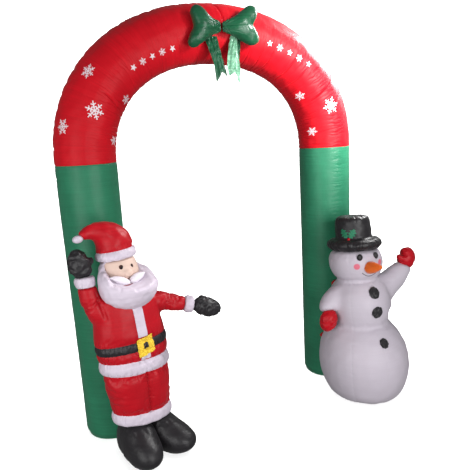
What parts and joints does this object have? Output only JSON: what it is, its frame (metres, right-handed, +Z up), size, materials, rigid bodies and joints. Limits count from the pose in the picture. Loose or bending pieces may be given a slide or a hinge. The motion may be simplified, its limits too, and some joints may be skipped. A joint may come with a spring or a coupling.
{
  "type": "inflatable arch",
  "caption": "Tall air-filled cloth arch to walk through, with a bow at its crown, a bearded figure in red at one leg and a snowman at the other.",
  "frame": {"origin": "middle of the whole outline in plan, on the floor", "axes": "+Z up; -Y is the front, where the bow and both figures are; +X runs from the bearded figure to the snowman"},
  "size_m": [2.0933, 0.8262, 2.4008],
  "materials": {
    "red_cloth": "thin coated woven polyester, soft sheen",
    "green_cloth": "thin coated woven polyester, soft sheen",
    "white_cloth": "thin coated woven polyester, soft sheen",
    "black_cloth": "thin coated woven polyester, soft sheen",
    "skin_cloth": "thin coated woven polyester, soft sheen",
    "yellow_foil": "crinkled foil-faced cloth",
    "orange_cloth": "thin coated woven polyester, soft sheen"
  },
  "bodies": {
    "root": {"ankle_band": "white_cloth", "beard": "white_cloth", "bearded_eye_left": "black_cloth", "bearded_eye_right": "black_cloth", "bearded_head": "skin_cloth", "belt": "black_cloth", "boot_left": "black_cloth", "boot_right": "black_cloth", "bow_loop_left": "green_cloth", "bow_loop_right": "green_cloth", "bow_tail_folded": "green_cloth", "bow_tail_left": "green_cloth", "bow_tail_right": "green_cloth", "buckle": "yellow_foil", "buckle_centre": "black_cloth", "button_low": "black_cloth", "button_middle": "black_cloth", "button_top": "black_cloth", "carrot_nose": "orange_cloth", "cuff_outstretched": "white_cloth", "cuff_raised": "white_cloth", "front_strip_lower": "white_cloth", "front_strip_upper": "white_cloth", "green_leg_left": "green_cloth", "green_leg_right": "green_cloth", "hat": "red_cloth", "hat_band": "white_cloth", "holly_berry": "red_cloth", "holly_leaf_left": "green_cloth", "holly_leaf_right": "green_cloth", "jacket_chest": "red_cloth", "jacket_hem": "white_cloth", "jacket_skirt": "red_cloth", "link_lower": "red_cloth", "link_upper": "red_cloth", "mitten_outstretched": "black_cloth", "mitten_raised": "black_cloth", "moustache_left": "white_cloth", "moustache_right": "white_cloth", "nose": "skin_cloth", "pompom": "white_cloth", "red_curve": "red_cloth", "sleeve_outstretched": "red_cloth", "sleeve_raised": "red_cloth", "snowman_arm_left": "white_cloth", "snowman_arm_right": "white_cloth", "snowman_belly": "white_cloth", "snowman_chest": "white_cloth", "snowman_eye_left": "black_cloth", "snowman_eye_right": "black_cloth", "snowman_hat_brim": "black_cloth", "snowman_hat_crown": "black_cloth", "snowman_head": "white_cloth", "snowman_mitten_left": "red_cloth", "snowman_mitten_right": "red_cloth", "trousers": "red_cloth"}
  },
  "joints": []
}
